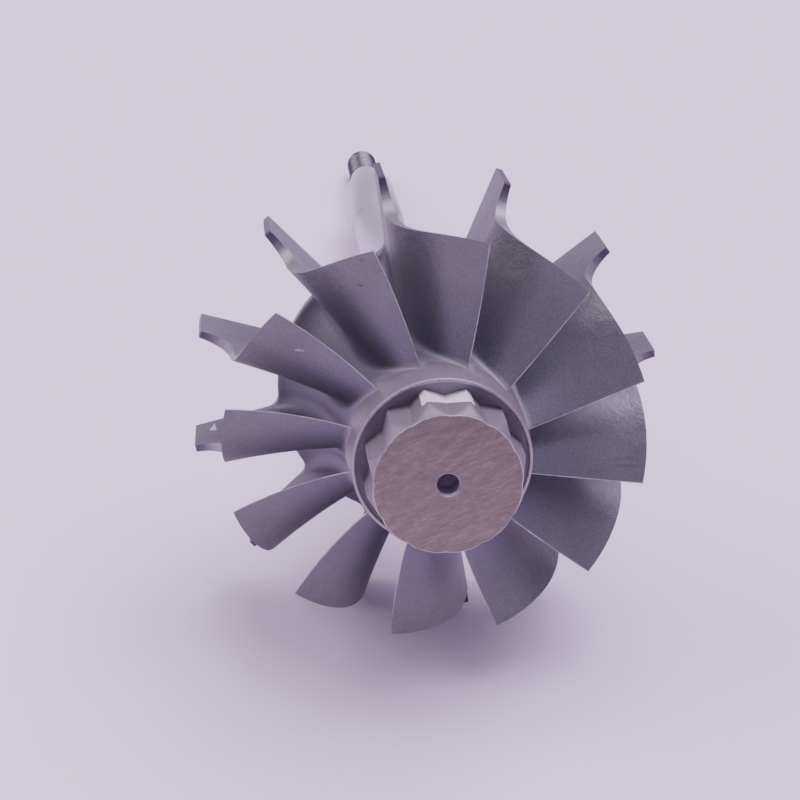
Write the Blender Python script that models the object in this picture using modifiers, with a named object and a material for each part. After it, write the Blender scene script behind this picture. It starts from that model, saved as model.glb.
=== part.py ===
"""Turbocharger turbine wheel welded to its shaft, lying on a level surface.

The rotor is built about its own axis, local +Z, from the flat nose (station 0) to the threaded end.
An empty then lays it down as it rests: on two inducer blade tips and on the end of the thread.
World units are metres, +Z is up, +Y runs from the nose towards the thread.
"""

import math

import bmesh
import bpy
from mathutils import Matrix, Vector

MM = 0.001

# Wheel: radii from the axis, and stations along it measured from the nose face.
BLADE_COUNT = 12
EXDUCER_RADIUS = 30.0 * MM
INDUCER_RADIUS = 34.8 * MM
TRAILING_TIP_STATION = 12.69 * MM
TRAILING_ROOT_STATION = 11.5 * MM
TRAILING_BOW = 0.75 * MM
LEADING_FRONT_STATION = 29.85 * MM
BLADE_BACK_STATION = 38.0 * MM
SHROUD_BEND_STATION = 25.35 * MM

# The blade starts straight and radial, and its turn about the axis grows towards the exducer.
BLADE_WRAP = math.radians(23.7)
ROOT_LEAD = math.radians(4.8)
ROOT_CURL = 4.0 * MM
TIP_CURL = 3.6 * MM

# Hub: a curve of revolution from the trailing-edge roots out to the scalloped back disc.
HUB_ROOT_RADIUS = 12.6 * MM
HUB_CURVE_RADIUS = 23.5 * MM
HUB_CURVE_STATION = 36.75 * MM
DISC_RADIUS = 21.7 * MM
DISC_FRONT_STATION = 35.35 * MM
DISC_BACK_STATION = 38.05 * MM
LIP_RADIUS = 12.34 * MM
LIP_STATION = 6.95 * MM
LIP_ROUND = 0.35 * MM
GROOVE_RADIUS = 11.6 * MM
GROOVE_DEPTH = 0.75 * MM
BOSS_FOOT_STATION = 7.2 * MM

# Twelve-point boss on the nose, chamfered by a cone down to a nearly round flat face.
BOSS_POINTS = 12
BOSS_POINT_RADIUS = 11.05 * MM
BOSS_NOTCH_RADIUS = 9.62 * MM
NOTCH_RADIUS_AT_FACE = 9.95 * MM
BOSS_FACE_RADIUS = 10.05 * MM
BOSS_CHAMFER_DEPTH = 2.6 * MM
BOSS_TURN = math.radians(12.5)
CENTRE_HOLE_RADIUS = 1.5 * MM
HOLE_CHAMFER = 0.22 * MM
CENTRE_HOLE_DEPTH = 4.0 * MM

# Casting stub, weld seam and seal collar behind the disc.
STUB_RADIUS = 9.6 * MM
STUB_END_STATION = 43.35 * MM
SEAM_RADIUS = 9.9 * MM
SEAM_END_STATION = 44.55 * MM
COLLAR_RADIUS = 9.2 * MM
COLLAR_END_STATION = 54.75 * MM
RING_GROOVE_STATION = 48.95 * MM
RING_GROOVE_WIDTH = 1.7 * MM
RING_GROOVE_DEPTH = 1.5 * MM

# Steel shaft: two bearing journals with a thinner waist between, a shoulder, then the seat and the thread.
JOURNAL_RADIUS = 5.2 * MM
WAIST_RADIUS = 4.65 * MM
TURBINE_JOURNAL_END = 74.75 * MM
WAIST_END = 121.75 * MM
SHOULDER_STATION = 145.75 * MM
SEAT_RADIUS = 3.175 * MM
THREAD_START_STATION = 157.75 * MM
THREAD_END_STATION = 172.25 * MM
END_CHAMFER = 0.7 * MM

# Touching solids keep a hairline between them.
SEAT_GAP = 0.05 * MM
ROOT_GAP = 0.12 * MM

TURNED_STEPS = 60
SHAFT_STEPS = 36
HUB_CURVE_STEPS = 12
BLADE_STREAM_SEGMENTS = 20
BLADE_SPAN_SEGMENTS = 6

# Share of the blade root that lies on the hub curve; the rest crosses the disc rim.
RIM_SHARE = 0.94
# Power that crowds the stream samples towards the trailing edge and puts one on the rim share.
STREAM_CROWDING = math.log(RIM_SHARE) / math.log(1 - 1 / BLADE_STREAM_SEGMENTS)

BLADE_PITCH = 2 * math.pi / BLADE_COUNT

# Blade thickness from the trailing edge (0) to the leading edge (1), at the root and at the shroud.
ROOT_THICKNESS = ((0.0, 0.4 * MM), (0.1, 1.1 * MM), (0.35, 2.3 * MM), (0.75, 2.7 * MM), (1.0, 2.4 * MM))
SHROUD_THICKNESS = ((0.0, 0.3 * MM), (0.3, 0.7 * MM), (0.52, 1.8 * MM), (0.7, 1.0 * MM), (1.0, 1.0 * MM))


def clear_scene():
    for obj in list(bpy.data.objects):
        bpy.data.objects.remove(obj, do_unlink=True)


def new_collection(name):
    collection = bpy.data.collections.new(name)
    bpy.context.scene.collection.children.link(collection)
    return collection


def metal(name, colour, roughness):
    """Principled metal of one colour."""
    material = bpy.data.materials.new(name)
    material.use_nodes = True
    shader = material.node_tree.nodes["Principled BSDF"]
    shader.inputs["Base Color"].default_value = (*colour, 1.0)
    shader.inputs["Metallic"].default_value = 1.0
    shader.inputs["Roughness"].default_value = roughness
    return material


def add_object(name, mesh, material, collection, parent):
    obj = bpy.data.objects.new(name, mesh)
    if material:
        mesh.materials.append(material)
    collection.objects.link(obj)
    obj.parent = parent
    return obj


def turned(name, profile, material, collection, parent, steps=TURNED_STEPS):
    """A closed body of revolution about local Z from (radius, station) points.

    The outline starts and ends on the axis and runs down its outer side, from the higher station to the lower.
    """
    mesh = bpy.data.meshes.new(name)
    mesh.from_pydata([(radius, 0.0, station) for radius, station in profile],
                     [(i, i + 1) for i in range(len(profile) - 1)], [])
    obj = add_object(name, mesh, material, collection, parent)
    screw = obj.modifiers.new("Turn", "SCREW")
    screw.axis = "Z"
    screw.steps = steps
    screw.render_steps = steps
    screw.use_merge_vertices = True
    screw.merge_threshold = 0.00001
    screw.use_smooth_shade = True
    return obj


def interpolated(stops, position):
    """Straight-line value between the (position, value) stops."""
    for (start, low), (end, high) in zip(stops, stops[1:]):
        if position <= end:
            return low + (high - low) * (position - start) / (end - start)
    return stops[-1][1]


def hub_curve(share):
    """(radius, station) on the quarter-ellipse hub line, from the trailing-edge roots (0) to the disc rim (1)."""
    rise = 1 - (DISC_RADIUS - HUB_ROOT_RADIUS) / (HUB_CURVE_RADIUS - HUB_ROOT_RADIUS)
    angle = share * math.acos(rise)
    radius = HUB_ROOT_RADIUS + (HUB_CURVE_RADIUS - HUB_ROOT_RADIUS) * (1 - math.cos(angle))
    station = TRAILING_ROOT_STATION + (HUB_CURVE_STATION - TRAILING_ROOT_STATION) * math.sin(angle)
    return radius, station


def hub_radius_at(station):
    """Radius of the hub line at a station."""
    sine = (station - TRAILING_ROOT_STATION) / (HUB_CURVE_STATION - TRAILING_ROOT_STATION)
    return HUB_ROOT_RADIUS + (HUB_CURVE_RADIUS - HUB_ROOT_RADIUS) * (1 - math.sqrt(1 - sine * sine))


def root_line(share):
    """(radius, station) of a blade root: along the hub curve, then straight back over the disc rim."""
    if share <= RIM_SHARE:
        return hub_curve(share / RIM_SHARE)
    radius, station = hub_curve(1.0)
    return radius, station + (BLADE_BACK_STATION - station) * (share - RIM_SHARE) / (1 - RIM_SHARE)


def shroud_line(share):
    """(radius, station) of the blade's outer edge: exducer cylinder, concave bend, then the leading edge."""
    bend_start, bend_end = 0.5, 0.7
    bend_height = INDUCER_RADIUS - EXDUCER_RADIUS
    bend_length = LEADING_FRONT_STATION - SHROUD_BEND_STATION
    if share <= bend_start:
        local = share / bend_start
        return EXDUCER_RADIUS, TRAILING_TIP_STATION + (SHROUD_BEND_STATION - TRAILING_TIP_STATION) * local
    if share <= bend_end:
        angle = math.pi / 2 * (share - bend_start) / (bend_end - bend_start)
        return (EXDUCER_RADIUS + bend_height * (1 - math.cos(angle)),
                SHROUD_BEND_STATION + bend_length * math.sin(angle))
    local = (share - bend_end) / (1 - bend_end)
    return INDUCER_RADIUS, LEADING_FRONT_STATION + (BLADE_BACK_STATION - LEADING_FRONT_STATION) * local


def trailing_station(share):
    """Station of the trailing edge between its root (0) and its tip (1), with the edge bowed back."""
    straight = TRAILING_ROOT_STATION + (TRAILING_TIP_STATION - TRAILING_ROOT_STATION) * share
    return straight + bow_back(share, 0.0)


def bow_back(span, stream):
    """Distance that the blade bows back from its straight span, greatest half way up the trailing edge."""
    return TRAILING_BOW * 4 * span * (1 - span) * (1 - stream) ** 2


def wrap_angle(radius, station):
    """Turn of the blade about the axis: none at the leading edge, growing ever faster to the trailing edge."""
    share = min(1.0, (radius - HUB_ROOT_RADIUS) / (EXDUCER_RADIUS - HUB_ROOT_RADIUS))
    curl = ROOT_CURL + (TIP_CURL - ROOT_CURL) * share
    return (BLADE_WRAP + ROOT_LEAD * (1 - share)) * math.exp((trailing_station(share) - station) / curl)


def blade_point(stream, span, side):
    """Point of a blade whose leading edge lies on local +X. Side is -1 or 1 across the thickness."""
    root_radius, root_station = root_line(stream)
    tip_radius, tip_station = shroud_line(stream)
    root_radius += ROOT_GAP
    radius = root_radius + (tip_radius - root_radius) * span
    station = root_station + (tip_station - root_station) * span + bow_back(span, stream)
    root_half = interpolated(ROOT_THICKNESS, stream) / 2
    tip_half = interpolated(SHROUD_THICKNESS, stream) / 2
    half = root_half + (tip_half - root_half) * span
    angle = wrap_angle(radius, station) + side * math.asin(half / radius)
    return Vector((radius * math.cos(angle), radius * math.sin(angle), station))


def blade_mesh():
    """A box cut into a grid and bent to the blade: X is the stream, Y the span and Z the thickness."""
    form = bmesh.new()
    bmesh.ops.create_cube(form, size=1.0)
    for axis, segments in ((0, BLADE_STREAM_SEGMENTS), (1, BLADE_SPAN_SEGMENTS)):
        along = [edge for edge in form.edges
                 if abs(edge.verts[0].co[axis] - edge.verts[1].co[axis]) > 0.5]
        bmesh.ops.subdivide_edges(form, edges=along, cuts=segments - 1, use_grid_fill=True)
    for vertex in form.verts:
        stream, span, side = (vertex.co.x + 0.5) ** STREAM_CROWDING, vertex.co.y + 0.5, vertex.co.z * 2
        vertex.co = blade_point(stream, span, side)
    bmesh.ops.recalc_face_normals(form, faces=form.faces)
    mesh = bpy.data.meshes.new("blade")
    form.to_mesh(mesh)
    form.free()
    mesh.shade_smooth()
    mesh.set_sharp_from_angle(angle=math.radians(40))
    return mesh


def add_blades(material, collection, parent):
    """Twelve equal blades, turned so that two leading edges straddle the lowest line of the wheel."""
    mesh = blade_mesh()
    mesh.materials.append(material)
    for index in range(BLADE_COUNT):
        blade = add_object(f"blade_{index + 1:02d}", mesh, None, collection, parent)
        blade.rotation_euler = (0.0, 0.0, (index + 0.5) * BLADE_PITCH)


def hub_profile():
    """Hub outline from the disc side to the nose: outer curve, rounded lip, groove round the boss."""
    points = [(0.0, DISC_FRONT_STATION), (hub_radius_at(DISC_FRONT_STATION), DISC_FRONT_STATION)]
    curve = [hub_curve(step / HUB_CURVE_STEPS) for step in range(HUB_CURVE_STEPS, -1, -1)]
    points += [point for point in curve if point[1] < DISC_FRONT_STATION - SEAT_GAP]
    points.append((LIP_RADIUS + LIP_ROUND, LIP_STATION + LIP_ROUND))
    points.append((LIP_RADIUS, LIP_STATION))
    points.append((LIP_RADIUS - LIP_ROUND, LIP_STATION + LIP_ROUND / 2))
    points.append((GROOVE_RADIUS, BOSS_FOOT_STATION + GROOVE_DEPTH))
    points.append((BOSS_POINT_RADIUS + ROOT_GAP, BOSS_FOOT_STATION))
    points.append((0.0, BOSS_FOOT_STATION))
    return points


def star_prism(length):
    """Prism from the nose face back to its foot. Points alternate with notches that deepen towards the foot."""
    form = bmesh.new()
    bmesh.ops.create_cone(form, cap_ends=True, segments=2 * BOSS_POINTS,
                          radius1=BOSS_POINT_RADIUS, radius2=BOSS_POINT_RADIUS, depth=length)
    for vertex in form.verts:
        corner = round(math.atan2(vertex.co.y, vertex.co.x) / (math.pi / BOSS_POINTS))
        notch = NOTCH_RADIUS_AT_FACE if vertex.co.z < 0 else BOSS_NOTCH_RADIUS
        radius = notch if corner % 2 else BOSS_POINT_RADIUS
        angle = corner * math.pi / BOSS_POINTS + BOSS_TURN
        vertex.co = (radius * math.cos(angle), radius * math.sin(angle), vertex.co.z + length / 2)
    bmesh.ops.triangulate(form, faces=form.faces)
    mesh = bpy.data.meshes.new("nose_boss")
    form.to_mesh(mesh)
    form.free()
    return mesh


def add_boss(material, collection, cutters, parent):
    """Twelve-point boss: a star prism met with a chamfer cone, with a centre hole in its face."""
    length = BOSS_FOOT_STATION - SEAT_GAP
    boss = add_object("nose_boss", star_prism(length), material, collection, parent)

    overrun = 2.0 * MM
    slope = (BOSS_POINT_RADIUS - BOSS_FACE_RADIUS) / BOSS_CHAMFER_DEPTH
    envelope = turned("boss_chamfer_envelope",
                      [(0.0, length + overrun),
                       (BOSS_POINT_RADIUS + slope * (length + overrun - BOSS_CHAMFER_DEPTH), length + overrun),
                       (BOSS_FACE_RADIUS, 0.0),
                       (0.0, 0.0)],
                      None, cutters, parent)
    hole = turned("centre_hole_cutter",
                  [(0.0, CENTRE_HOLE_DEPTH),
                   (CENTRE_HOLE_RADIUS * 0.75, CENTRE_HOLE_DEPTH - CENTRE_HOLE_RADIUS * 0.6),
                   (CENTRE_HOLE_RADIUS, HOLE_CHAMFER * 1.5),
                   (CENTRE_HOLE_RADIUS + HOLE_CHAMFER + overrun / 1.5, -overrun),
                   (0.0, -overrun)],
                  None, cutters, parent, steps=24)
    for cutter, operation in ((envelope, "INTERSECT"), (hole, "DIFFERENCE")):
        cutter.hide_render = True
        cutter.display_type = "WIRE"
        boolean = boss.modifiers.new(operation.title(), "BOOLEAN")
        boolean.operation = operation
        boolean.object = cutter
    return boss


def disc_profile():
    """Back disc and casting stub, from the weld back to the disc's front."""
    radius_in = STUB_RADIUS + 2.2 * MM
    front = DISC_FRONT_STATION + SEAT_GAP
    return [(0.0, STUB_END_STATION),
            (STUB_RADIUS, STUB_END_STATION),
            (STUB_RADIUS, DISC_BACK_STATION + 2.4 * MM),
            (STUB_RADIUS + 0.6 * MM, DISC_BACK_STATION + 1.2 * MM),
            (radius_in, DISC_BACK_STATION + 0.7 * MM),
            (DISC_RADIUS - 0.5 * MM, DISC_BACK_STATION),
            (DISC_RADIUS, DISC_BACK_STATION - 0.4 * MM),
            (DISC_RADIUS, hub_curve(1.0)[1]),
            (hub_radius_at(front), front),
            (0.0, front)]


def seam_profile():
    """Weld seam: a low rounded bead between the casting stub and the seal collar."""
    start, end = STUB_END_STATION + SEAT_GAP, SEAM_END_STATION
    rise = SEAM_RADIUS - STUB_RADIUS
    points = [(0.0, end)]
    bead_steps = 6
    for step in range(bead_steps + 1):
        angle = math.pi * step / bead_steps
        points.append((STUB_RADIUS + rise * math.sin(angle), end - (end - start) * step / bead_steps))
    points.append((0.0, start))
    return points


def collar_profile():
    """Seal collar with one piston-ring groove."""
    groove_floor = COLLAR_RADIUS - RING_GROOVE_DEPTH
    chamfer = 0.4 * MM
    return [(0.0, COLLAR_END_STATION),
            (COLLAR_RADIUS - chamfer, COLLAR_END_STATION),
            (COLLAR_RADIUS, COLLAR_END_STATION - chamfer),
            (COLLAR_RADIUS, RING_GROOVE_STATION + RING_GROOVE_WIDTH),
            (groove_floor, RING_GROOVE_STATION + RING_GROOVE_WIDTH),
            (groove_floor, RING_GROOVE_STATION),
            (COLLAR_RADIUS, RING_GROOVE_STATION),
            (COLLAR_RADIUS, SEAM_END_STATION + SEAT_GAP),
            (0.0, SEAM_END_STATION + SEAT_GAP)]


def shaft_profile():
    """Journals, waist, thrust shoulder and the plain seat, from the thread back to the collar."""
    taper = 0.9 * MM
    fillet = 1.2 * MM
    start = COLLAR_END_STATION + SEAT_GAP
    return [(0.0, THREAD_START_STATION - SEAT_GAP),
            (SEAT_RADIUS, THREAD_START_STATION - SEAT_GAP),
            (SEAT_RADIUS, SHOULDER_STATION + 1.2 * MM),
            (SEAT_RADIUS - 0.25 * MM, SHOULDER_STATION + 1.0 * MM),
            (SEAT_RADIUS - 0.25 * MM, SHOULDER_STATION),
            (JOURNAL_RADIUS - 0.35 * MM, SHOULDER_STATION),
            (JOURNAL_RADIUS, SHOULDER_STATION - 0.35 * MM),
            (JOURNAL_RADIUS, WAIST_END),
            (WAIST_RADIUS, WAIST_END - taper),
            (WAIST_RADIUS, TURBINE_JOURNAL_END + taper),
            (JOURNAL_RADIUS, TURBINE_JOURNAL_END),
            (JOURNAL_RADIUS, start + fillet * 1.4),
            (JOURNAL_RADIUS + fillet * 0.3, start + fillet * 0.5),
            (JOURNAL_RADIUS + fillet, start),
            (0.0, start)]


def thread_profile():
    """Threaded end as the cylinder over its crests, with a chamfered tip."""
    return [(0.0, THREAD_END_STATION),
            (SEAT_RADIUS - END_CHAMFER, THREAD_END_STATION),
            (SEAT_RADIUS, THREAD_END_STATION - END_CHAMFER),
            (SEAT_RADIUS, THREAD_START_STATION),
            (0.0, THREAD_START_STATION)]


def resting_pose():
    """Matrix that lays the rotor down, with the origin on the floor at the middle of its length.

    The lowest points are the back corners of two leading edges and the thread's chamfered tip.
    """
    tip_half_angle = math.asin(SHROUD_THICKNESS[-1][1] / 2 / INDUCER_RADIUS)
    tip_drop = INDUCER_RADIUS * math.cos(BLADE_PITCH / 2 - tip_half_angle)
    tilt = math.atan2(tip_drop - SEAT_RADIUS, THREAD_END_STATION - END_CHAMFER - BLADE_BACK_STATION)
    height = BLADE_BACK_STATION * math.sin(tilt) + tip_drop * math.cos(tilt)
    front = -BOSS_FACE_RADIUS * math.sin(tilt)
    back = THREAD_END_STATION * math.cos(tilt) + (SEAT_RADIUS - END_CHAMFER) * math.sin(tilt)
    place = Matrix.Translation((0.0, -(front + back) / 2, height))
    return place @ Matrix.Rotation(-(math.pi / 2 + tilt), 4, "X")


def main():
    clear_scene()
    parts = new_collection("turbine_wheel_and_shaft")
    cutters = new_collection("cutters")
    axis = bpy.data.objects.new("rotor_axis", None)
    parts.objects.link(axis)
    axis.matrix_world = resting_pose()

    cast = metal("cast_nickel_alloy", (0.36, 0.34, 0.39), 0.48)
    machined = metal("machined_nose", (0.50, 0.45, 0.47), 0.40)
    weld = metal("weld_metal", (0.42, 0.39, 0.36), 0.45)
    steel = metal("ground_steel", (0.60, 0.59, 0.61), 0.28)
    dark = metal("threaded_steel", (0.22, 0.21, 0.24), 0.42)

    turned("hub", hub_profile(), cast, parts, axis)
    add_boss(machined, parts, cutters, axis)
    turned("back_disc", disc_profile(), cast, parts, axis)
    add_blades(cast, parts, axis)
    turned("weld_seam", seam_profile(), weld, parts, axis)
    turned("seal_collar", collar_profile(), steel, parts, axis)
    turned("shaft", shaft_profile(), steel, parts, axis, steps=SHAFT_STEPS)
    turned("threaded_end", thread_profile(), dark, parts, axis, steps=SHAFT_STEPS)


main()
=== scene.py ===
"""Looks of a turbocharger turbine wheel and its shaft, lying on a pale floor.

Every metal piece is built about the rotor's own axis, local +Z, from the flat nose (station 0) to the thread,
and then laid down by resting_pose(). Lengths are in metres.
"""

import math

import bmesh
import bpy
from mathutils import Matrix, Vector


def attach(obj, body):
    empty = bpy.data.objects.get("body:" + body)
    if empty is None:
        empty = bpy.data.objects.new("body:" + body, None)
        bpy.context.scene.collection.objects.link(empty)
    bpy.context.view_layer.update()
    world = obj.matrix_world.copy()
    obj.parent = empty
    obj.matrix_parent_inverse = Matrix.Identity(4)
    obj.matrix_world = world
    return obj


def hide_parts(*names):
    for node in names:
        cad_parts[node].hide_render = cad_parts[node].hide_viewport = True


MM = 0.001

# Wheel: radii from the axis, and stations along it measured from the nose face.
BLADE_COUNT = 12
BLADE_PITCH = 2 * math.pi / BLADE_COUNT
EXDUCER_RADIUS = 30.0 * MM
INDUCER_RADIUS = 34.8 * MM
TRAILING_TIP_STATION = 12.69 * MM
TRAILING_ROOT_STATION = 11.5 * MM
TRAILING_BOW = 0.75 * MM
LEADING_FRONT_STATION = 29.85 * MM
BLADE_BACK_STATION = 38.0 * MM
SHROUD_BEND_STATION = 25.35 * MM

# The blade starts straight and radial, and its turn about the axis grows towards the exducer.
BLADE_WRAP = math.radians(23.7)
ROOT_LEAD = math.radians(4.8)
ROOT_CURL = 4.0 * MM
TIP_CURL = 3.6 * MM
BEND_START = 0.5
BEND_END = 0.7
RIM_SHARE = 0.94

HUB_ROOT_RADIUS = 12.6 * MM
HUB_CURVE_RADIUS = 23.5 * MM
HUB_CURVE_STATION = 36.75 * MM
DISC_RADIUS = 21.7 * MM
DISC_BACK_STATION = 38.05 * MM
LIP_RADIUS = 12.15 * MM
LIP_STATION = 6.95 * MM
LIP_ROUND = 0.3 * MM
RIM_RISE = 0.4 * MM
RIM_LAG = 1.35 * MM
GROOVE_DEPTH = 0.75 * MM
BOSS_FOOT_STATION = 7.2 * MM

BOSS_POINTS = 12
BOSS_POINT_RADIUS = 11.05 * MM
BOSS_NOTCH_RADIUS = 9.62 * MM
NOTCH_RADIUS_AT_FACE = 9.95 * MM
BOSS_FACE_RADIUS = 10.05 * MM
BOSS_CHAMFER_DEPTH = 2.6 * MM
BOSS_TURN = math.radians(12.5)
CENTRE_HOLE_RADIUS = 1.5 * MM
HOLE_CHAMFER = 0.28 * MM
CENTRE_HOLE_DEPTH = 4.0 * MM
FACE_ROUND = 0.15 * MM
FACET_BLEND = 0.3 * MM

# Painted highlight on the boss: a bright patch between two points that stands for their lit walls, deeper at the
# notch between them.
PATCH_MIDDLE = math.radians(-92.5)
PATCH_HALF_ANGLE = math.radians(19.5)
PATCH_FRONT_AT_POINTS = 3.25 * MM
PATCH_FRONT_AT_NOTCH = 5.1 * MM

STUB_RADIUS = 9.6 * MM
STUB_END_STATION = 43.35 * MM
SEAM_RADIUS = 9.9 * MM
SEAM_END_STATION = 44.55 * MM
COLLAR_RADIUS = 9.2 * MM
COLLAR_END_STATION = 54.75 * MM
RING_GROOVE_STATION = 48.95 * MM
RING_GROOVE_WIDTH = 1.7 * MM
RING_GROOVE_DEPTH = 1.5 * MM

JOURNAL_RADIUS = 5.2 * MM
WAIST_RADIUS = 4.65 * MM
TURBINE_JOURNAL_END = 74.75 * MM
WAIST_END = 121.75 * MM
SHOULDER_STATION = 145.75 * MM
SEAT_RADIUS = 3.175 * MM
THREAD_START_STATION = 157.75 * MM
THREAD_END_STATION = 172.25 * MM
THREAD_PITCH = 0.907 * MM
THREAD_DEPTH = 0.5 * MM
END_CHAMFER = 0.7 * MM
END_SETBACK = 0.01 * MM

# Blade thickness and root fillet radius from the trailing edge (0) to the leading edge (1).
ROOT_THICKNESS = ((0.0, 0.15 * MM), (0.1, 1.1 * MM), (0.35, 2.3 * MM), (0.75, 2.7 * MM), (1.0, 2.4 * MM))
SHROUD_THICKNESS = ((0.0, 0.13 * MM), (0.3, 0.7 * MM), (0.52, 1.8 * MM), (0.7, 1.0 * MM), (1.0, 1.0 * MM))
FILLET_RADIUS = ((0.0, 0.15 * MM), (0.1, 0.9 * MM), (0.3, 1.6 * MM), (0.6, 1.9 * MM), (1.0, 1.8 * MM))

# Flaws of the cast skin: (radius, angle, station) in mm and degrees, and the reach of the mark in mm.
PIMPLES = (((25.9, -118.1, 14.25), 0.5), ((29.1, -115.0, 13.35), 0.3))
SCRATCH_PLACE = (23.8, -146.8, 14.1)
STAIN_PLACE = (27.0, 4.0, 13.8)
# Corners of a triangular chip on one inducer tab, in the same terms.
CHIP_CORNERS = ((32.67, 166.14, 34.51), (31.41, 166.31, 33.79), (31.82, 166.23, 36.86))

# Grid of the casting: steps along the stream, and steps round one blade pitch.
STREAM_STEPS = 70
STREAM_CROWDING = 1.3
FLOOR_STEPS = 14
FILLET_STEPS = 7
SIDE_STEPS = 14

# Camera pose measured from the photograph, and its lens on a 36 mm sensor.
CAMERA_PLACE = (-0.03157, -0.26359, 0.17927)
CAMERA_TURN = (55.479, -5.182, -3.986)
CAMERA_LENS = 77.92


def resting_pose():
    """Matrix that lays the rotor on two inducer blade tips and the thread, over the origin."""
    tip_half_angle = math.asin(SHROUD_THICKNESS[-1][1] / 2 / INDUCER_RADIUS)
    tip_drop = INDUCER_RADIUS * math.cos(BLADE_PITCH / 2 - tip_half_angle)
    tilt = math.atan2(tip_drop - SEAT_RADIUS, THREAD_END_STATION - END_CHAMFER - BLADE_BACK_STATION)
    height = BLADE_BACK_STATION * math.sin(tilt) + tip_drop * math.cos(tilt)
    front = -BOSS_FACE_RADIUS * math.sin(tilt)
    back = THREAD_END_STATION * math.cos(tilt) + (SEAT_RADIUS - END_CHAMFER) * math.sin(tilt)
    place = Matrix.Translation((0.0, -(front + back) / 2, height))
    return place @ Matrix.Rotation(-(math.pi / 2 + tilt), 4, "X")


def interpolated(stops, position):
    """Straight-line value between the (position, value) stops."""
    for (start, low), (end, high) in zip(stops, stops[1:]):
        if position <= end:
            return low + (high - low) * (position - start) / (end - start)
    return stops[-1][1]


def hub_curve(share):
    """(radius, station) on the hub line, from the trailing-edge roots (0) to the disc rim (1)."""
    rise = 1 - (DISC_RADIUS - HUB_ROOT_RADIUS) / (HUB_CURVE_RADIUS - HUB_ROOT_RADIUS)
    angle = share * math.acos(rise)
    radius = HUB_ROOT_RADIUS + (HUB_CURVE_RADIUS - HUB_ROOT_RADIUS) * (1 - math.cos(angle))
    station = TRAILING_ROOT_STATION + (HUB_CURVE_STATION - TRAILING_ROOT_STATION) * math.sin(angle)
    return radius, station


def root_line(share):
    """(radius, station) of a blade root: along the hub curve, then straight back over the disc rim."""
    if share <= RIM_SHARE:
        return hub_curve(share / RIM_SHARE)
    radius, station = hub_curve(1.0)
    return radius, station + (BLADE_BACK_STATION - station) * (share - RIM_SHARE) / (1 - RIM_SHARE)


def shroud_line(share):
    """(radius, station) of the blade's outer edge: exducer cylinder, concave bend, then the leading edge."""
    bend_height = INDUCER_RADIUS - EXDUCER_RADIUS
    bend_length = LEADING_FRONT_STATION - SHROUD_BEND_STATION
    if share <= BEND_START:
        local = share / BEND_START
        return EXDUCER_RADIUS, TRAILING_TIP_STATION + (SHROUD_BEND_STATION - TRAILING_TIP_STATION) * local
    if share <= BEND_END:
        angle = math.pi / 2 * (share - BEND_START) / (BEND_END - BEND_START)
        return (EXDUCER_RADIUS + bend_height * (1 - math.cos(angle)),
                SHROUD_BEND_STATION + bend_length * math.sin(angle))
    local = (share - BEND_END) / (1 - BEND_END)
    return INDUCER_RADIUS, LEADING_FRONT_STATION + (BLADE_BACK_STATION - LEADING_FRONT_STATION) * local


def trailing_station(share):
    """Station of the trailing edge between its root (0) and its tip (1), with the edge bowed back."""
    straight = TRAILING_ROOT_STATION + (TRAILING_TIP_STATION - TRAILING_ROOT_STATION) * share
    return straight + bow_back(share, 0.0)


def bow_back(span, stream):
    """Distance that the blade bows back from its straight span, greatest half way up the trailing edge."""
    return TRAILING_BOW * 4 * span * (1 - span) * (1 - stream) ** 2


def wrap_angle(radius, station):
    """Turn of the blade about the axis: none at the leading edge, growing ever faster to the trailing edge."""
    share = min(1.0, (radius - HUB_ROOT_RADIUS) / (EXDUCER_RADIUS - HUB_ROOT_RADIUS))
    curl = ROOT_CURL + (TIP_CURL - ROOT_CURL) * share
    return (BLADE_WRAP + ROOT_LEAD * (1 - share)) * math.exp((trailing_station(share) - station) / curl)


def on_rotor(radius, angle, station):
    return Vector((radius * math.cos(angle), radius * math.sin(angle), station))


def blade_heights(length, fillet):
    """(height above the hub, extra half width) pairs up one side of a blade, from the fillet's foot to the edge."""
    pairs = []
    for step in range(FILLET_STEPS):
        turn = math.pi / 2 * step / FILLET_STEPS
        pairs.append((fillet * (1 - math.cos(turn)), fillet * (1 - math.sin(turn))))
    for step in range(SIDE_STEPS + 1):
        pairs.append((fillet + (length - fillet) * step / SIDE_STEPS, 0.0))
    return pairs


def rim_shift(stream, share):
    """(radius, station) added to the front rim between the back of one blade (0) and the next blade (1)."""
    swell = (1 - share) * min(1.0, share / 0.15) ** 0.7
    return (RIM_RISE * swell * max(0.0, 1 - stream / 0.06),
            RIM_LAG * swell * max(0.0, 1 - stream / 0.3) ** 2)


def blade_side(stream, side):
    """Points up one side of the blade on local +X, from the fillet's foot to the outer edge."""
    root_radius, root_station = root_line(stream)
    tip_radius, tip_station = shroud_line(stream)
    length = math.hypot(tip_radius - root_radius, tip_station - root_station)
    root_half = interpolated(ROOT_THICKNESS, stream) / 2
    tip_half = interpolated(SHROUD_THICKNESS, stream) / 2
    points = []
    for height, extra in blade_heights(length, interpolated(FILLET_RADIUS, stream)):
        share = height / length
        radius = root_radius + (tip_radius - root_radius) * share
        station = root_station + (tip_station - root_station) * share + bow_back(share, stream)
        half = root_half + (tip_half - root_half) * share + extra
        points.append(on_rotor(radius, wrap_angle(radius, station) + side * math.asin(half / radius), station))
    return points


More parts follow.
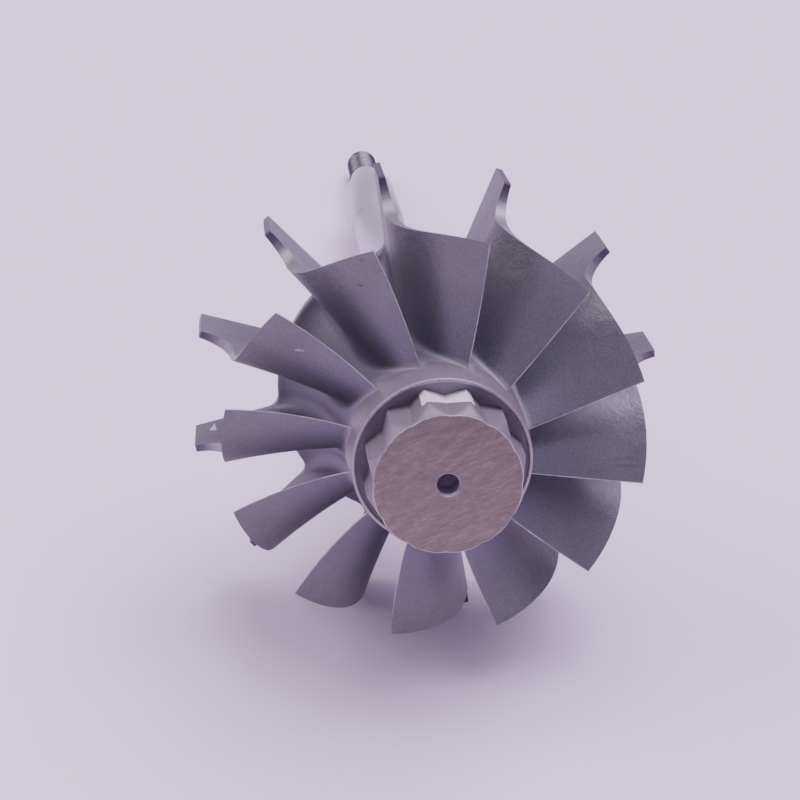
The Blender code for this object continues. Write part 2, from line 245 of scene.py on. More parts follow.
def pitch_section(stream):
    """One blade pitch round the casting: half a floor, up the blade, down it again, half a floor."""
    left = blade_side(stream, -1)
    right = blade_side(stream, 1)
    radius, station = root_line(stream)
    turn = wrap_angle(radius, station)
    foot = math.atan2(right[0].y, right[0].x) - turn
    half_floor = BLADE_PITCH / 2 - foot
    floor_in = []
    floor_out = []
    for step in range(FLOOR_STEPS):
        rise, lag = rim_shift(stream, 0.5 + 0.5 * step / FLOOR_STEPS)
        angle = turn - BLADE_PITCH / 2 + half_floor * step / FLOOR_STEPS
        floor_in.append(on_rotor(radius + rise, angle, station + lag))
    for step in range(1, FLOOR_STEPS):
        rise, lag = rim_shift(stream, 0.5 * step / FLOOR_STEPS)
        angle = turn + foot + half_floor * step / FLOOR_STEPS
        floor_out.append(on_rotor(radius + rise, angle, station + lag))
    return floor_in + left + right[::-1] + floor_out


def casting_mesh():
    """Hub, disc and blades as one skin: a toothed section lofted along the stream and closed at both ends."""
    side_count = FILLET_STEPS + SIDE_STEPS + 1
    pitch_count = 2 * FLOOR_STEPS - 1 + 2 * side_count
    ring_count = BLADE_COUNT * pitch_count
    form = bmesh.new()
    rows = []
    for row in range(STREAM_STEPS + 1):
        section = pitch_section((row / STREAM_STEPS) ** STREAM_CROWDING)
        ring = []
        for blade in range(BLADE_COUNT):
            turn = Matrix.Rotation((blade + 0.5) * BLADE_PITCH, 3, "Z")
            ring += [form.verts.new(turn @ point) for point in section]
        rows.append(ring)
    tip_index = FLOOR_STEPS + side_count - 1
    for near, far in zip(rows, rows[1:]):
        for index in range(ring_count):
            following = (index + 1) % ring_count
            face = form.faces.new((near[index], near[following], far[following], far[index]))
            face.material_index = 1 if index % pitch_count == tip_index else 0
    for ring, flip in ((rows[0], True), (rows[-1], False)):
        close_blade_ends(form, ring, pitch_count, side_count, flip)
    front = floor_loop(rows[0], pitch_count, side_count)
    back = floor_loop(rows[-1], pitch_count, side_count)
    turn_rings(form, front, front_profile(), True)
    turn_rings(form, back, back_profile(), False)
    bmesh.ops.recalc_face_normals(form, faces=form.faces)
    mesh = bpy.data.meshes.new("wheel_casting")
    form.to_mesh(mesh)
    form.free()
    return mesh


def close_blade_ends(form, ring, pitch_count, side_count, flip):
    """Strips of faces across each blade's thickness at one end of the loft."""
    for blade in range(BLADE_COUNT):
        first = blade * pitch_count + FLOOR_STEPS
        last = first + 2 * side_count - 1
        for step in range(side_count - 1):
            corners = [ring[first + step], ring[first + step + 1], ring[last - step - 1], ring[last - step]]
            face = form.faces.new(corners[::-1] if flip else corners)
            face.material_index = 3 if flip else 0


def floor_loop(ring, pitch_count, side_count):
    """The ring's points that lie on the hub, going round."""
    loop = []
    for blade in range(BLADE_COUNT):
        start = blade * pitch_count
        loop += ring[start:start + FLOOR_STEPS + 1]
        loop += ring[start + FLOOR_STEPS + 2 * side_count - 1:start + pitch_count]
    return loop


def turn_rings(form, loop, profile, flip):
    """Continues a loop of points as rings of the given (radius, station, material) and closes the last one."""
    angles = [math.atan2(vertex.co.y, vertex.co.x) for vertex in loop]
    for radius, station, material in profile:
        ring = [form.verts.new(on_rotor(radius, angle, station)) for angle in angles]
        for index in range(len(loop)):
            following = (index + 1) % len(loop)
            corners = (loop[index], loop[following], ring[following], ring[index])
            face = form.faces.new(corners[::-1] if flip else corners)
            face.material_index = material
        loop = ring
    form.faces.new(loop)


def front_profile():
    """Rings from the trailing-edge roots inward: turned cone, rounded lip, cast groove, boss foot."""
    cast, turned_finish = 0, 2
    cone_steps, lip_steps, groove_steps = 4, 8, 10
    neck = Vector((LIP_RADIUS + LIP_ROUND, LIP_STATION + LIP_ROUND))
    root = Vector((HUB_ROOT_RADIUS, TRAILING_ROOT_STATION))
    rings = []
    for step in range(1, cone_steps + 1):
        point = root.lerp(neck, step / cone_steps)
        rings.append((point.x, point.y, turned_finish))
    for step in range(1, lip_steps + 1):
        angle = math.pi * step / lip_steps
        rings.append((LIP_RADIUS + LIP_ROUND * math.cos(angle),
                      LIP_STATION + LIP_ROUND * (1 - math.sin(angle)), turned_finish))
    outer = LIP_RADIUS - LIP_ROUND
    inner = BOSS_NOTCH_RADIUS - 1.0 * MM
    for step in range(1, groove_steps + 1):
        share = step / groove_steps
        depth = GROOVE_DEPTH * math.sin(math.pi / 2 * min(1.0, share * 1.4))
        rings.append((outer + (inner - outer) * share, LIP_STATION + LIP_ROUND + depth, cast))
    return rings


def back_profile():
    """Rings from the disc rim inward over the back face and along the casting stub to the weld."""
    cast, turned_finish = 0, 2
    neck = 2.2 * MM
    rings = [(DISC_RADIUS - 0.3 * MM, DISC_BACK_STATION, cast),
             (STUB_RADIUS + neck + 2.0 * MM, DISC_BACK_STATION + 0.25 * MM, cast)]
    for step in range(7):
        angle = math.pi / 2 * step / 6
        rings.append((STUB_RADIUS + neck * (1 - math.sin(angle)),
                      DISC_BACK_STATION + 0.3 * MM + neck * (1 - math.cos(angle)), turned_finish))
    rings.append((STUB_RADIUS, STUB_END_STATION, turned_finish))
    return rings


def star_radius(angle, notch_radius):
    """Outline of the twelve-point boss, straight between each point and the next notch."""
    half = math.pi / BOSS_POINTS
    offset = abs((angle - BOSS_TURN + half) % (2 * half) - half)
    point = Vector((BOSS_POINT_RADIUS, 0.0))
    notch = Vector((notch_radius * math.cos(half), notch_radius * math.sin(half)))
    run = notch - point
    return (point.x * run.y - point.y * run.x) / (run.y * math.cos(offset) - run.x * math.sin(offset))


def painted_highlight_patch(angle, station):
    """How far a point on the boss lies inside the painted highlight patch, which stands for the lit walls of the top
    two points.
    """
    point_step = 2 * math.pi / BOSS_POINTS
    turn = (angle - PATCH_MIDDLE + math.pi) % (2 * math.pi) - math.pi
    notch = 1 - min(1.0, abs(turn) / (point_step / 2))
    front_edge = PATCH_FRONT_AT_POINTS + (PATCH_FRONT_AT_NOTCH - PATCH_FRONT_AT_POINTS) * notch
    inside = min((PATCH_HALF_ANGLE - abs(turn)) * BOSS_POINT_RADIUS, station - front_edge)
    return max(0.0, min(1.0, 0.5 + inside / (0.4 * MM)))


def boss_radius(angle, station):
    """Star wall near the foot and a cone near the face, blended so that the facets meet softly."""
    depth = min(1.0, station / BOSS_FOOT_STATION)
    wall = star_radius(angle, NOTCH_RADIUS_AT_FACE + (BOSS_NOTCH_RADIUS - NOTCH_RADIUS_AT_FACE) * depth)
    cone = BOSS_FACE_RADIUS + (BOSS_POINT_RADIUS - BOSS_FACE_RADIUS) * station / BOSS_CHAMFER_DEPTH
    overlap = max(0.0, FACET_BLEND - abs(wall - cone)) / FACET_BLEND
    return min(wall, cone) - overlap * overlap * FACET_BLEND / 4


def boss_line(angle):
    """(radius, station) points from the boss's foot over its face into the centre hole, and each step's material."""
    wall_steps, round_steps = 24, 4
    foot = BOSS_FOOT_STATION + 1.0 * MM
    line = []
    for step in range(wall_steps + 1):
        station = foot + (FACE_ROUND - foot) * step / wall_steps
        line.append((boss_radius(angle, station), station))
    rim = line[-1][0]
    for step in range(1, round_steps + 1):
        turn = math.pi / 2 * step / round_steps
        line.append((rim - FACE_ROUND * (1 - math.cos(turn)), FACE_ROUND * (1 - math.sin(turn))))
    line += [(CENTRE_HOLE_RADIUS + HOLE_CHAMFER, 0.0), (CENTRE_HOLE_RADIUS, HOLE_CHAMFER * 1.5),
             (CENTRE_HOLE_RADIUS, CENTRE_HOLE_DEPTH - 0.9 * MM), (0.05 * MM, CENTRE_HOLE_DEPTH)]
    wall, ground, rubbed_and_highlit, hole = 0, 1, 2, 3
    return line, [wall] * wall_steps + [rubbed_and_highlit] * round_steps + [ground, rubbed_and_highlit, hole, hole]


def boss_mesh():
    """Nose boss as one skin, with the painted highlight patch as a vertex value."""
    columns = BOSS_POINTS * 20
    form = bmesh.new()
    highlight_share = form.verts.layers.float.new("painted_highlight_patch")
    grid = []
    for column in range(columns):
        angle = 2 * math.pi * column / columns + BOSS_TURN
        line, finishes = boss_line(angle)
        verts = []
        for radius, station in line:
            vert = form.verts.new(on_rotor(radius, angle, station))
            vert[highlight_share] = painted_highlight_patch(angle, station) if radius > BOSS_NOTCH_RADIUS / 2 else 0.0
            verts.append(vert)
        grid.append(verts)
    for column in range(columns):
        here, there = grid[column], grid[(column + 1) % columns]
        for row in range(len(here) - 1):
            face = form.faces.new((here[row], here[row + 1], there[row + 1], there[row]))
            face.material_index = finishes[row]
    form.faces.new([line[-1] for line in grid]).material_index = finishes[-1]
    form.faces.new([line[0] for line in grid][::-1])
    bmesh.ops.recalc_face_normals(form, faces=form.faces)
    mesh = bpy.data.meshes.new("nose_boss_star")
    form.to_mesh(mesh)
    form.free()
    return mesh


def lathe_mesh(name, profile, steps=128):
    """Closed body of revolution from (radius, station) points that start and end on the axis."""
    form = bmesh.new()
    ends = [form.verts.new((0.0, 0.0, profile[0][1])), form.verts.new((0.0, 0.0, profile[-1][1]))]
    rings = [[form.verts.new(on_rotor(radius, 2 * math.pi * step / steps, station)) for step in range(steps)]
             for radius, station in profile[1:-1]]
    for step in range(steps):
        following = (step + 1) % steps
        form.faces.new((ends[0], rings[0][step], rings[0][following]))
        form.faces.new((ends[1], rings[-1][following], rings[-1][step]))
        for near, far in zip(rings, rings[1:]):
            form.faces.new((near[step], far[step], far[following], near[following]))
    bmesh.ops.recalc_face_normals(form, faces=form.faces)
    mesh = bpy.data.meshes.new(name)
    form.to_mesh(mesh)
    form.free()
    return mesh


def seam_profile():
    """Weld bead with a low crown."""
    points = [(0.0, SEAM_END_STATION)]
    steps = 10
    for step in range(steps + 1):
        angle = math.pi * step / steps
        points.append((STUB_RADIUS + (SEAM_RADIUS - STUB_RADIUS) * math.sin(angle),
                       SEAM_END_STATION - (SEAM_END_STATION - STUB_END_STATION) * step / steps))
    points.append((0.0, STUB_END_STATION))
    return points


def collar_profile():
    chamfer = 0.4 * MM
    floor = COLLAR_RADIUS - RING_GROOVE_DEPTH
    return [(0.0, COLLAR_END_STATION),
            (COLLAR_RADIUS - chamfer, COLLAR_END_STATION),
            (COLLAR_RADIUS, COLLAR_END_STATION - chamfer),
            (COLLAR_RADIUS, RING_GROOVE_STATION + RING_GROOVE_WIDTH),
            (floor, RING_GROOVE_STATION + RING_GROOVE_WIDTH),
            (floor, RING_GROOVE_STATION),
            (COLLAR_RADIUS, RING_GROOVE_STATION),
            (COLLAR_RADIUS, SEAM_END_STATION),
            (0.0, SEAM_END_STATION)]


def shaft_profile():
    taper = 0.9 * MM
    fillet = 1.2 * MM
    start = COLLAR_END_STATION
    points = [(0.0, THREAD_START_STATION),
              (SEAT_RADIUS, THREAD_START_STATION),
              (SEAT_RADIUS, SHOULDER_STATION + 1.2 * MM),
              (SEAT_RADIUS - 0.25 * MM, SHOULDER_STATION + 1.0 * MM),
              (SEAT_RADIUS - 0.25 * MM, SHOULDER_STATION),
              (JOURNAL_RADIUS - 0.35 * MM, SHOULDER_STATION),
              (JOURNAL_RADIUS, SHOULDER_STATION - 0.35 * MM),
              (JOURNAL_RADIUS, WAIST_END),
              (WAIST_RADIUS, WAIST_END - taper),
              (WAIST_RADIUS, TURBINE_JOURNAL_END + taper),
              (JOURNAL_RADIUS, TURBINE_JOURNAL_END)]
    for step in range(6):
        angle = math.pi / 2 * step / 5
        points.append((JOURNAL_RADIUS + fillet * (1 - math.cos(angle)), start + fillet * (1 - math.sin(angle))))
    points.append((0.0, start))
    return points


def thread_mesh():
    """Screw thread whose grid follows the helix, run out at its root and chamfered at its end."""
    columns, rows_per_turn = 64, 8
    end = THREAD_END_STATION - END_SETBACK
    turns = int((end - THREAD_START_STATION) / THREAD_PITCH) + 2
    form = bmesh.new()

    def corner(column, row):
        turn = row / rows_per_turn + column / columns
        station = min(max(THREAD_START_STATION + (turn - 1) * THREAD_PITCH, THREAD_START_STATION), end)
        flank = abs((row % rows_per_turn) / rows_per_turn - 0.5) * 2
        run_out = min(1.0, (station - THREAD_START_STATION) / THREAD_PITCH)
        depth = THREAD_DEPTH * run_out * min(1.0, max(0.0, 1.15 - 1.3 * flank))
        crest = min(SEAT_RADIUS, SEAT_RADIUS - END_CHAMFER + (end - station))
        return on_rotor(min(SEAT_RADIUS - depth, crest), 2 * math.pi * column / columns, station)

    rows = turns * rows_per_turn
    grid = [[form.verts.new(corner(column, row)) for row in range(rows + 1)] for column in range(columns)]
    for column in range(columns):
        here = grid[column]
        if column + 1 < columns:
            there, lag = grid[column + 1], 0
        else:
            there, lag = grid[0], rows_per_turn
        for row in range(rows - lag):
            form.faces.new((here[row], there[row + lag], there[row + lag + 1], here[row + 1]))
    bmesh.ops.remove_doubles(form, verts=form.verts, dist=0.000002)
    bmesh.ops.dissolve_degenerate(form, edges=form.edges, dist=0.000002)
    bmesh.ops.holes_fill(form, edges=form.edges)
    bmesh.ops.recalc_face_normals(form, faces=form.faces)
    mesh = bpy.data.meshes.new("thread")
    form.to_mesh(mesh)
    form.free()
    return mesh


def piece(name, mesh, materials, nodes, sharp=35.0, edge=0.0):
    """Lays a mesh down as a piece of the rotor that stands for the named solids."""
    for material in materials:
        mesh.materials.append(material)
    mesh.transform(resting_pose())
    mesh.shade_smooth()
    mesh.set_sharp_from_angle(angle=math.radians(sharp))
    obj = bpy.data.objects.new(name, mesh)
    bpy.context.scene.collection.objects.link(obj)
    if edge:
        bevel = obj.modifiers.new("Edges", "BEVEL")
        bevel.width = edge
        bevel.segments = 2
        bevel.limit_method = "ANGLE"
        bevel.angle_limit = math.radians(sharp)
        bevel.harden_normals = True
    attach(obj, "root")
    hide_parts(*nodes)
    return obj


def new_material(name, colour, metallic, roughness):
    """Principled material, with its node tree and shader returned for more nodes."""
    material = bpy.data.materials.new(name)
    material.use_nodes = True
    tree = material.node_tree
    shader = tree.nodes["Principled BSDF"]
    shader.inputs["Base Color"].default_value = (*colour, 1.0)
    shader.inputs["Metallic"].default_value = metallic
    shader.inputs["Roughness"].default_value = roughness
    return material, tree, shader


def rotor_coordinates(tree):
    """Coordinates in metres about the rotor's own axis: Z is the station along it."""
    upright = resting_pose().inverted()
    coordinates = tree.nodes.new("ShaderNodeTexCoord")
    mapping = tree.nodes.new("ShaderNodeMapping")
    mapping.inputs["Location"].default_value = upright.translation
    mapping.inputs["Rotation"].default_value = upright.to_euler()
    tree.links.new(coordinates.outputs["Object"], mapping.inputs["Vector"])
    return mapping.outputs["Vector"]


def stretched(tree, vector, stretch, turn=0.0):
    """The vector turned about the rotor's axis by an angle in degrees, then stretched along each axis."""
    turned = tree.nodes.new("ShaderNodeMapping")
    turned.inputs["Rotation"].default_value = (0.0, 0.0, math.radians(turn))
    tree.links.new(vector, turned.inputs["Vector"])
    scaled = tree.nodes.new("ShaderNodeMapping")
    scaled.inputs["Scale"].default_value = stretch
    tree.links.new(turned.outputs["Vector"], scaled.inputs["Vector"])
    return scaled.outputs["Vector"]


def maths(tree, operation, first, second=0.5, clamp=False):
    """One Math node; a number or a socket may stand for either value."""
    node = tree.nodes.new("ShaderNodeMath")
    node.operation = operation
    node.use_clamp = clamp
    for socket, value in zip(node.inputs, (first, second)):
        if isinstance(value, (int, float)):
            socket.default_value = value
        else:
            tree.links.new(value, socket)
    return node.outputs["Value"]


def mixed(tree, share, low, high):
    """Colour between low and high; either may be a colour or a socket."""
    node = tree.nodes.new("ShaderNodeMix")
    node.data_type = "RGBA"
    tree.links.new(share, node.inputs["Factor"])
    for name, value in (("A", low), ("B", high)):
        socket = [entry for entry in node.inputs if entry.name == name and entry.type == "RGBA"][0]
        if isinstance(value, tuple):
            socket.default_value = (*value, 1.0)
        else:
            tree.links.new(value, socket)
    return [entry for entry in node.outputs if entry.type == "RGBA"][0]


def distance_from_axis(tree, vector):
    """Distance from the rotor's axis in metres."""
    flat = stretched(tree, vector, (1.0, 1.0, 0.0))
    length = tree.nodes.new("ShaderNodeVectorMath")
    length.operation = "LENGTH"
    tree.links.new(flat, length.inputs[0])
    return length.outputs["Value"]


def station_along(tree, vector):
    parts = tree.nodes.new("ShaderNodeSeparateXYZ")
    tree.links.new(vector, parts.inputs["Vector"])
    return parts.outputs["Z"]


def grown(tree, value, start, end):
    """0 before the start and 1 after the end, smoothly between."""
    node = tree.nodes.new("ShaderNodeMapRange")
    node.interpolation_type = "SMOOTHSTEP"
    node.inputs["From Min"].default_value = start
    node.inputs["From Max"].default_value = end
    tree.links.new(value, node.inputs["Value"])
    return node.outputs["Result"]


def vertex_value(tree, name):
    node = tree.nodes.new("ShaderNodeAttribute")
    node.attribute_name = name
    return node.outputs["Fac"]


def noise(tree, vector, scale, detail=3.0, roughness=0.6):
    node = tree.nodes.new("ShaderNodeTexNoise")
    node.inputs["Scale"].default_value = scale
    node.inputs["Detail"].default_value = detail
    node.inputs["Roughness"].default_value = roughness
    tree.links.new(vector, node.inputs["Vector"])
    return node.outputs["Fac"]


def ramp(tree, value, stops):
    """Colour ramp through (position, colour) stops."""
    node = tree.nodes.new("ShaderNodeValToRGB")
    elements = node.color_ramp.elements
    while len(elements) < len(stops):
        elements.new(0.5)
    for element, (position, colour) in zip(elements, stops):
        element.position = position
        element.color = (*colour, 1.0) if len(colour) == 3 else colour
    tree.links.new(value, node.inputs["Fac"])
    return node.outputs["Color"]


def bump(tree, shader, height, distance, strength=1.0, under=None):
    node = tree.nodes.new("ShaderNodeBump")
    node.inputs["Distance"].default_value = distance
    node.inputs["Strength"].default_value = strength
    tree.links.new(height, node.inputs["Height"])
    if under:
        tree.links.new(under, node.inputs["Normal"])
    tree.links.new(node.outputs["Normal"], shader.inputs["Normal"])
    return node.outputs["Normal"]


def spot(tree, here, place, reach, stretch=(1.0, 1.0, 1.0)):
    """1 at a place on the casting, fading to 0 at the reach; a stretch above 1 narrows it along that axis."""
    radius, angle, station = place
    centre = on_rotor(radius * MM, math.radians(angle), station * MM)
    offset = tree.nodes.new("ShaderNodeVectorMath")
    offset.operation = "SUBTRACT"
    offset.inputs[1].default_value = centre
    tree.links.new(here, offset.inputs[0])
    length = tree.nodes.new("ShaderNodeVectorMath")
    length.operation = "LENGTH"
    tree.links.new(stretched(tree, offset.outputs["Vector"], stretch), length.inputs[0])
    return maths(tree, "SUBTRACT", 1.0, grown(tree, length.outputs["Value"], reach * MM * 0.5, reach * MM))


def chip_mask(tree, here):
    """1 inside the triangular chip, and only on the side of the tab that carries it."""
    corners = [on_rotor(radius * MM, math.radians(angle), station * MM) for radius, angle, station in CHIP_CORNERS]
    outward = (corners[1] - corners[0]).cross(corners[2] - corners[0]).normalized()
    planes = [(outward, corners[0] - outward * 0.3 * MM), (-outward, corners[0] + outward * 0.3 * MM)]
    for start, end in zip(corners, corners[1:] + corners[:1]):
        planes.append((outward.cross(end - start).normalized(), start))
    depth = None
    for normal, point in planes:
        along = tree.nodes.new("ShaderNodeVectorMath")
        along.operation = "DOT_PRODUCT"
        along.inputs[1].default_value = normal
        tree.links.new(here, along.inputs[0])
        inside = maths(tree, "SUBTRACT", along.outputs["Value"], normal.dot(point))
        depth = inside if depth is None else maths(tree, "MINIMUM", depth, inside)
    return grown(tree, depth, 0.0, 0.06 * MM)


def cast_alloy():
    """Sand-grained investment casting: bluish grey with a painted bluer shade towards the hub, paler on the turned
    nose, roughened near the outer edges, with painted light in the groove and the centre hole.
    """
    material, tree, shader = new_material("cast_nickel_alloy", (0.17, 0.17, 0.19), 0.6, 0.5)
    here = rotor_coordinates(tree)
    radius = distance_from_axis(tree, here)
    station = station_along(tree, here)
    mottle = noise(tree, here, 130.0, 3.0, 0.55)
    colour = ramp(tree, mottle, ((0.3, (0.15, 0.148, 0.154)), (0.7, (0.192, 0.19, 0.197))))
    # Painted shade: a darker bluish tint near the hub stands for the cool shade deep between the blades.
    painted_cool_shade_near_hub = maths(tree, "SUBTRACT", 1.0, grown(tree, radius, 14.0 * MM, 28.0 * MM))
    colour = mixed(tree, maths(tree, "MULTIPLY", painted_cool_shade_near_hub, 0.8), colour, (0.15, 0.138, 0.186))
    near_axis = maths(tree, "SUBTRACT", 1.0, grown(tree, radius, HUB_ROOT_RADIUS, HUB_ROOT_RADIUS + 1.1 * MM))
    near_nose = maths(tree, "SUBTRACT", 1.0, grown(tree, station, TRAILING_ROOT_STATION, TRAILING_ROOT_STATION + 6 * MM))
    turned = maths(tree, "MULTIPLY", near_axis, near_nose)
    colour = mixed(tree, turned, colour, (0.355, 0.322, 0.358))
    # Painted light: a paler tint inside the lip lifts the groove out of its shade.
    painted_light_in_groove = maths(tree, "LESS_THAN", radius, LIP_RADIUS)
    colour = mixed(tree, maths(tree, "MULTIPLY", painted_light_in_groove, near_nose), colour, (0.245, 0.223, 0.25))
    # Painted light: a pale violet tint in the centre hole stands for lilac light inside it.
    painted_light_in_hole = maths(tree, "LESS_THAN", radius, CENTRE_HOLE_RADIUS + HOLE_CHAMFER)
    colour = mixed(tree, maths(tree, "MULTIPLY", painted_light_in_hole, near_nose), colour, (0.38, 0.32, 0.4))
    grain = noise(tree, here, 3800.0, 2.0, 0.7)
    speck = grown(tree, grain, 0.35, 0.65)
    colour = mixed(tree, maths(tree, "MULTIPLY", speck, 0.1), colour, (0.6, 0.56, 0.63))
    chip = chip_mask(tree, here)
    scratch = maths(tree, "MULTIPLY", spot(tree, here, SCRATCH_PLACE, 0.9, (1.0, 3.2, 1.0)), speck)
    colour = mixed(tree, maths(tree, "MAXIMUM", chip, maths(tree, "MULTIPLY", scratch, 0.6)), colour, (0.75, 0.72, 0.76))
    streaks = grown(tree, noise(tree, stretched(tree, here, (300.0, 2400.0, 900.0)), 1.0), 0.42, 0.62)
    stain = maths(tree, "MULTIPLY", spot(tree, here, STAIN_PLACE, 2.2, (0.7, 2.0, 1.0)), streaks)
    colour = mixed(tree, maths(tree, "MULTIPLY", stain, 0.45), colour, (0.12, 0.11, 0.14))
    tree.links.new(colour, shader.inputs["Base Color"])
    roughness = maths(tree, "ADD", 0.42, maths(tree, "MULTIPLY", grain, 0.16))
    roughness = maths(tree, "ADD", roughness, maths(tree, "MULTIPLY", turned, 0.15))
    tree.links.new(roughness, shader.inputs["Roughness"])
    skin = maths(tree, "MULTIPLY", grown(tree, radius, 20.0 * MM, 30.0 * MM), noise(tree, here, 750.0, 4.0, 0.65))
    under = bump(tree, shader, skin, 0.0003, 0.6)
    for place, reach in PIMPLES:
        under = bump(tree, shader, spot(tree, here, place, reach), 0.00008, 1.0, under)
    under = bump(tree, shader, chip, 0.0001, 1.0, under)
    bump(tree, shader, grain, 0.00003, 0.4, under)
    return material


def machined_edge():
    """Ground blade edge: bright, with fine marks across it, and a painted dark violet reflection towards the inducer
    tips.
    """
    material, tree, shader = new_material("machined_edge", (0.36, 0.34, 0.36), 0.75, 0.45)
    here = rotor_coordinates(tree)
    outward = grown(tree, distance_from_axis(tree, here), EXDUCER_RADIUS + 1.2 * MM, INDUCER_RADIUS - 0.4 * MM)
    marks = noise(tree, stretched(tree, here, (900.0, 900.0, 4500.0)), 1.0, 3.0, 0.6)
    light = ramp(tree, marks, ((0.35, (0.26, 0.247, 0.26)), (0.65, (0.36, 0.342, 0.36))))
    # Painted reflection: the edge darkens to violet towards the inducer tips, standing for a dark reflection there.
    tree.links.new(mixed(tree, outward, light, (0.13, 0.105, 0.145)), shader.inputs["Base Color"])
    tree.links.new(maths(tree, "ADD", 0.36, maths(tree, "MULTIPLY", marks, 0.16)), shader.inputs["Roughness"])
    bump(tree, shader, marks, 0.00002, 0.4)
    return material


def worn_and_highlit_edge():
    """Rounded rim of the ground face and the thin trailing edges: pale from wear with small nicks, and kept pale all
    round as a painted edge highlight.
    """
    material, tree, shader = new_material("worn_and_highlit_edge", (0.6, 0.54, 0.58), 0.45, 0.45)
    here = rotor_coordinates(tree)
    nicks = noise(tree, here, 1400.0, 3.0, 0.7)
    wear = maths(tree, "ADD", maths(tree, "MULTIPLY", nicks, 0.4), maths(tree, "MULTIPLY", noise(tree, here, 160.0), 0.6))
    # Painted highlight: the pale ramp keeps these edges light from every side, on top of the wear pattern.
    tree.links.new(ramp(tree, wear, ((0.4, (0.25, 0.235, 0.25)), (0.58, (0.54, 0.51, 0.545)))), shader.inputs["Base Color"])
    bump(tree, shader, nicks, 0.00008, 0.6)
    return material


def turned_alloy():
    """Lightly turned casting from the lip to the blades, with a painted highlight patch on the boss and a painted
    highlight along the lip's crest.
    """
    material, tree, shader = new_material("turned_alloy", (0.5, 0.46, 0.5), 0.7, 0.55)
    here = rotor_coordinates(tree)
    grain = noise(tree, here, 2500.0, 3.0, 0.7)
    colour = ramp(tree, grain, ((0.3, (0.27, 0.235, 0.258)), (0.7, (0.35, 0.305, 0.33))))
    # Painted highlight: the patch is near white and less metallic, standing for the lit boss walls.
    highlight_share = grown(tree, maths(tree, "ADD", vertex_value(tree, "painted_highlight_patch"), maths(tree, "MULTIPLY", grain, 0.3)), 0.5, 0.75)
    from_crest = maths(tree, "ABSOLUTE", maths(tree, "SUBTRACT", distance_from_axis(tree, here), LIP_RADIUS))
    along = maths(tree, "SUBTRACT", station_along(tree, here), LIP_STATION)
    # Painted highlight: a pale line along the lip's crest.
    crest = maths(tree, "SUBTRACT", 1.0, grown(tree, maths(tree, "MAXIMUM", from_crest, along), 0.1 * MM, 0.3 * MM))
    crest = maths(tree, "MULTIPLY", crest, grown(tree, grain, 0.15, 0.6))
    colour = mixed(tree, crest, colour, (0.46, 0.425, 0.46))
    colour = mixed(tree, highlight_share, colour, (0.95, 0.9, 0.93))
    tree.links.new(colour, shader.inputs["Base Color"])
    tree.links.new(maths(tree, "SUBTRACT", 0.75, maths(tree, "MULTIPLY", highlight_share, 0.45)), shader.inputs["Metallic"])
    bump(tree, shader, grain, 0.00003, 0.4)
    return material


def ground_face():
    """Flat nose with irregular grinding streaks that rise to the right."""
    material, tree, shader = new_material("ground_face", (0.5, 0.44, 0.47), 0.6, 0.5)
    here = rotor_coordinates(tree)
    wide = noise(tree, stretched(tree, here, (260.0, 900.0, 260.0), 30.0), 1.0, 5.0, 0.7)
    fine = noise(tree, stretched(tree, here, (900.0, 3600.0, 900.0), 26.0), 1.0, 3.0, 0.6)
    both = maths(tree, "ADD", maths(tree, "MULTIPLY", wide, 0.6), maths(tree, "MULTIPLY", fine, 0.4))
    colour = ramp(tree, both, ((0.34, (0.178, 0.148, 0.132)), (0.5, (0.232, 0.192, 0.169)), (0.64, (0.315, 0.264, 0.232))))
    scratches = grown(tree, noise(tree, stretched(tree, here, (70.0, 2600.0, 70.0), 24.0), 1.0, 2.0, 0.5), 0.62, 0.7)
    colour = mixed(tree, maths(tree, "MULTIPLY", scratches, 0.5), colour, (0.14, 0.115, 0.11))
    tree.links.new(colour, shader.inputs["Base Color"])
    bump(tree, shader, both, 0.00005, 0.5)
    return material


def ground_steel():
    """Cylindrically ground shaft steel, with marks that run round it."""
    material, tree, shader = new_material("ground_steel", (0.62, 0.59, 0.63), 0.85, 0.3)
    rings = noise(tree, stretched(tree, rotor_coordinates(tree), (60.0, 60.0, 9000.0)), 1.0, 3.0, 0.6)
    tree.links.new(maths(tree, "ADD", 0.24, maths(tree, "MULTIPLY", rings, 0.24)), shader.inputs["Roughness"])
    bump(tree, shader, rings, 0.00001, 0.5)
    return material


def weld_metal():
    material, tree, shader = new_material("weld_metal", (0.42, 0.38, 0.35), 1.0, 0.4)
    tint = noise(tree, rotor_coordinates(tree), 600.0, 3.0, 0.6)
    colour = ramp(tree, tint, ((0.3, (0.3, 0.27, 0.3)), (0.55, (0.44, 0.38, 0.33)), (0.8, (0.5, 0.47, 0.46))))
    tree.links.new(colour, shader.inputs["Base Color"])
    bump(tree, shader, tint, 0.00008, 0.5)
    return material


def dark_thread():
    material, tree, shader = new_material("threaded_steel", (0.12, 0.11, 0.13), 1.0, 0.35)
    film = noise(tree, rotor_coordinates(tree), 900.0, 3.0, 0.6)
    colour = ramp(tree, film, ((0.3, (0.09, 0.085, 0.1)), (0.7, (0.2, 0.19, 0.21))))
    tree.links.new(colour, shader.inputs["Base Color"])
    return material


def floor_material():
    material, tree, shader = new_material("pale_floor", (0.97, 0.823, 1.0), 0.0, 0.6)
    paper = noise(tree, rotor_coordinates(tree), 900.0, 2.0, 0.5)
    bump(tree, shader, paper, 0.00005, 0.15)
    return material


def add_floor():
    """Level floor."""
    bpy.ops.mesh.primitive_plane_add(size=20.0)
    floor = bpy.context.active_object
    floor.name = "floor"
    floor.data.materials.append(floor_material())


def add_light(name, place, spread, strength, colour):
    """Broad distant light that shines from the given place towards the origin."""
    light = bpy.data.lights.new(name, "SUN")
    light.energy = strength
    light.angle = math.radians(spread)
    light.color = colour
    lamp = bpy.data.objects.new(name, light)
    lamp.location = place
    lamp.rotation_euler = (-Vector(place)).to_track_quat("-Z", "Y").to_euler()
    bpy.context.scene.collection.objects.link(lamp)


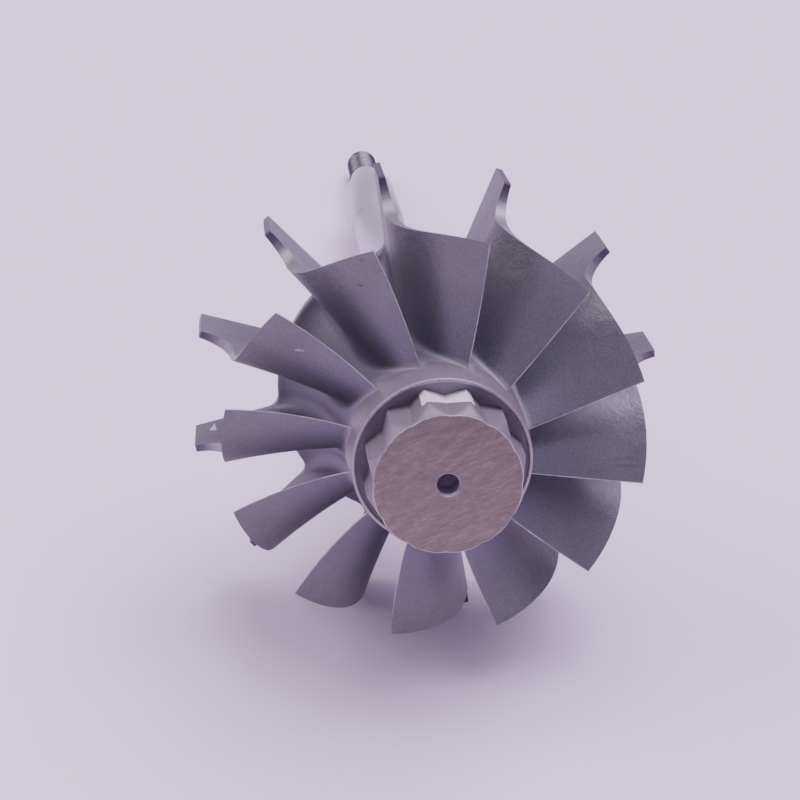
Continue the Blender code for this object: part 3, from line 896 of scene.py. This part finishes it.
def add_world():
    """Studio surroundings: bright overhead and behind the object, dim on the near side."""
    world = bpy.data.worlds.new("studio")
    world.use_nodes = True
    tree = world.node_tree
    direction = tree.nodes.new("ShaderNodeTexCoord")
    facing = tree.nodes.new("ShaderNodeVectorMath")
    facing.operation = "DOT_PRODUCT"
    facing.inputs[1].default_value = (0.0, 0.55, 0.83)
    tree.links.new(direction.outputs["Generated"], facing.inputs[0])
    glow = grown(tree, facing.outputs["Value"], -0.5, 0.95)
    colour = mixed(tree, glow, (0.315, 0.285, 0.41), (0.88, 0.745, 1.05))
    background = tree.nodes["Background"]
    tree.links.new(colour, background.inputs["Color"])
    background.inputs["Strength"].default_value = 0.7
    bpy.context.scene.world = world


def add_lights():
    add_world()
    add_light("overhead", (0.15, 0.18, 0.75), 48.0, 2.72, (1.01, 0.91, 1.2))
    add_light("from_left", (-0.76, 0.12, 0.64), 38.0, 1.17, (1.0, 0.9, 0.97))


def add_camera():
    data = bpy.data.cameras.new("camera")
    data.sensor_width = 36.0
    data.lens = CAMERA_LENS
    data.clip_start = 0.01
    camera = bpy.data.objects.new("camera", data)
    camera.location = CAMERA_PLACE
    camera.rotation_euler = [math.radians(angle) for angle in CAMERA_TURN]
    bpy.context.scene.collection.objects.link(camera)
    bpy.context.scene.camera = camera


def add_rotor():
    cast, edge, turned, worn_and_highlit = cast_alloy(), machined_edge(), turned_alloy(), worn_and_highlit_edge()
    blades = [f"blade_{index + 1:02d}" for index in range(BLADE_COUNT)]
    piece("wheel_casting", casting_mesh(), (cast, edge, turned, worn_and_highlit), ["hub", "back_disc"] + blades,
          38.0, 0.05 * MM)
    piece("nose_boss_star", boss_mesh(), (turned, ground_face(), worn_and_highlit, cast), ["nose_boss"], 25.0)
    piece("weld_bead", lathe_mesh("weld_bead", seam_profile()), (weld_metal(),), ["weld_seam"])
    steel = ground_steel()
    piece("ring_collar", lathe_mesh("ring_collar", collar_profile()), (steel,), ["seal_collar"],
          35.0, 0.08 * MM)
    piece("ground_shaft", lathe_mesh("ground_shaft", shaft_profile()), (steel,), ["shaft"],
          35.0, 0.06 * MM)
    piece("screw_thread", thread_mesh(), (dark_thread(),), ["threaded_end"], 40.0)


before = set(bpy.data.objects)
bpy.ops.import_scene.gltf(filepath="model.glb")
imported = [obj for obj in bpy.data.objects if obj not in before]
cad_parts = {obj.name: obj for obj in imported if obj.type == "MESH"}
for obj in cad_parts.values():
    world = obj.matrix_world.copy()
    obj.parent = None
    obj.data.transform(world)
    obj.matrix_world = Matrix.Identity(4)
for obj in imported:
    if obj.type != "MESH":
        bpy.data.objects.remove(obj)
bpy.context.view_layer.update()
add_rotor()
add_floor()
add_lights()
add_camera()
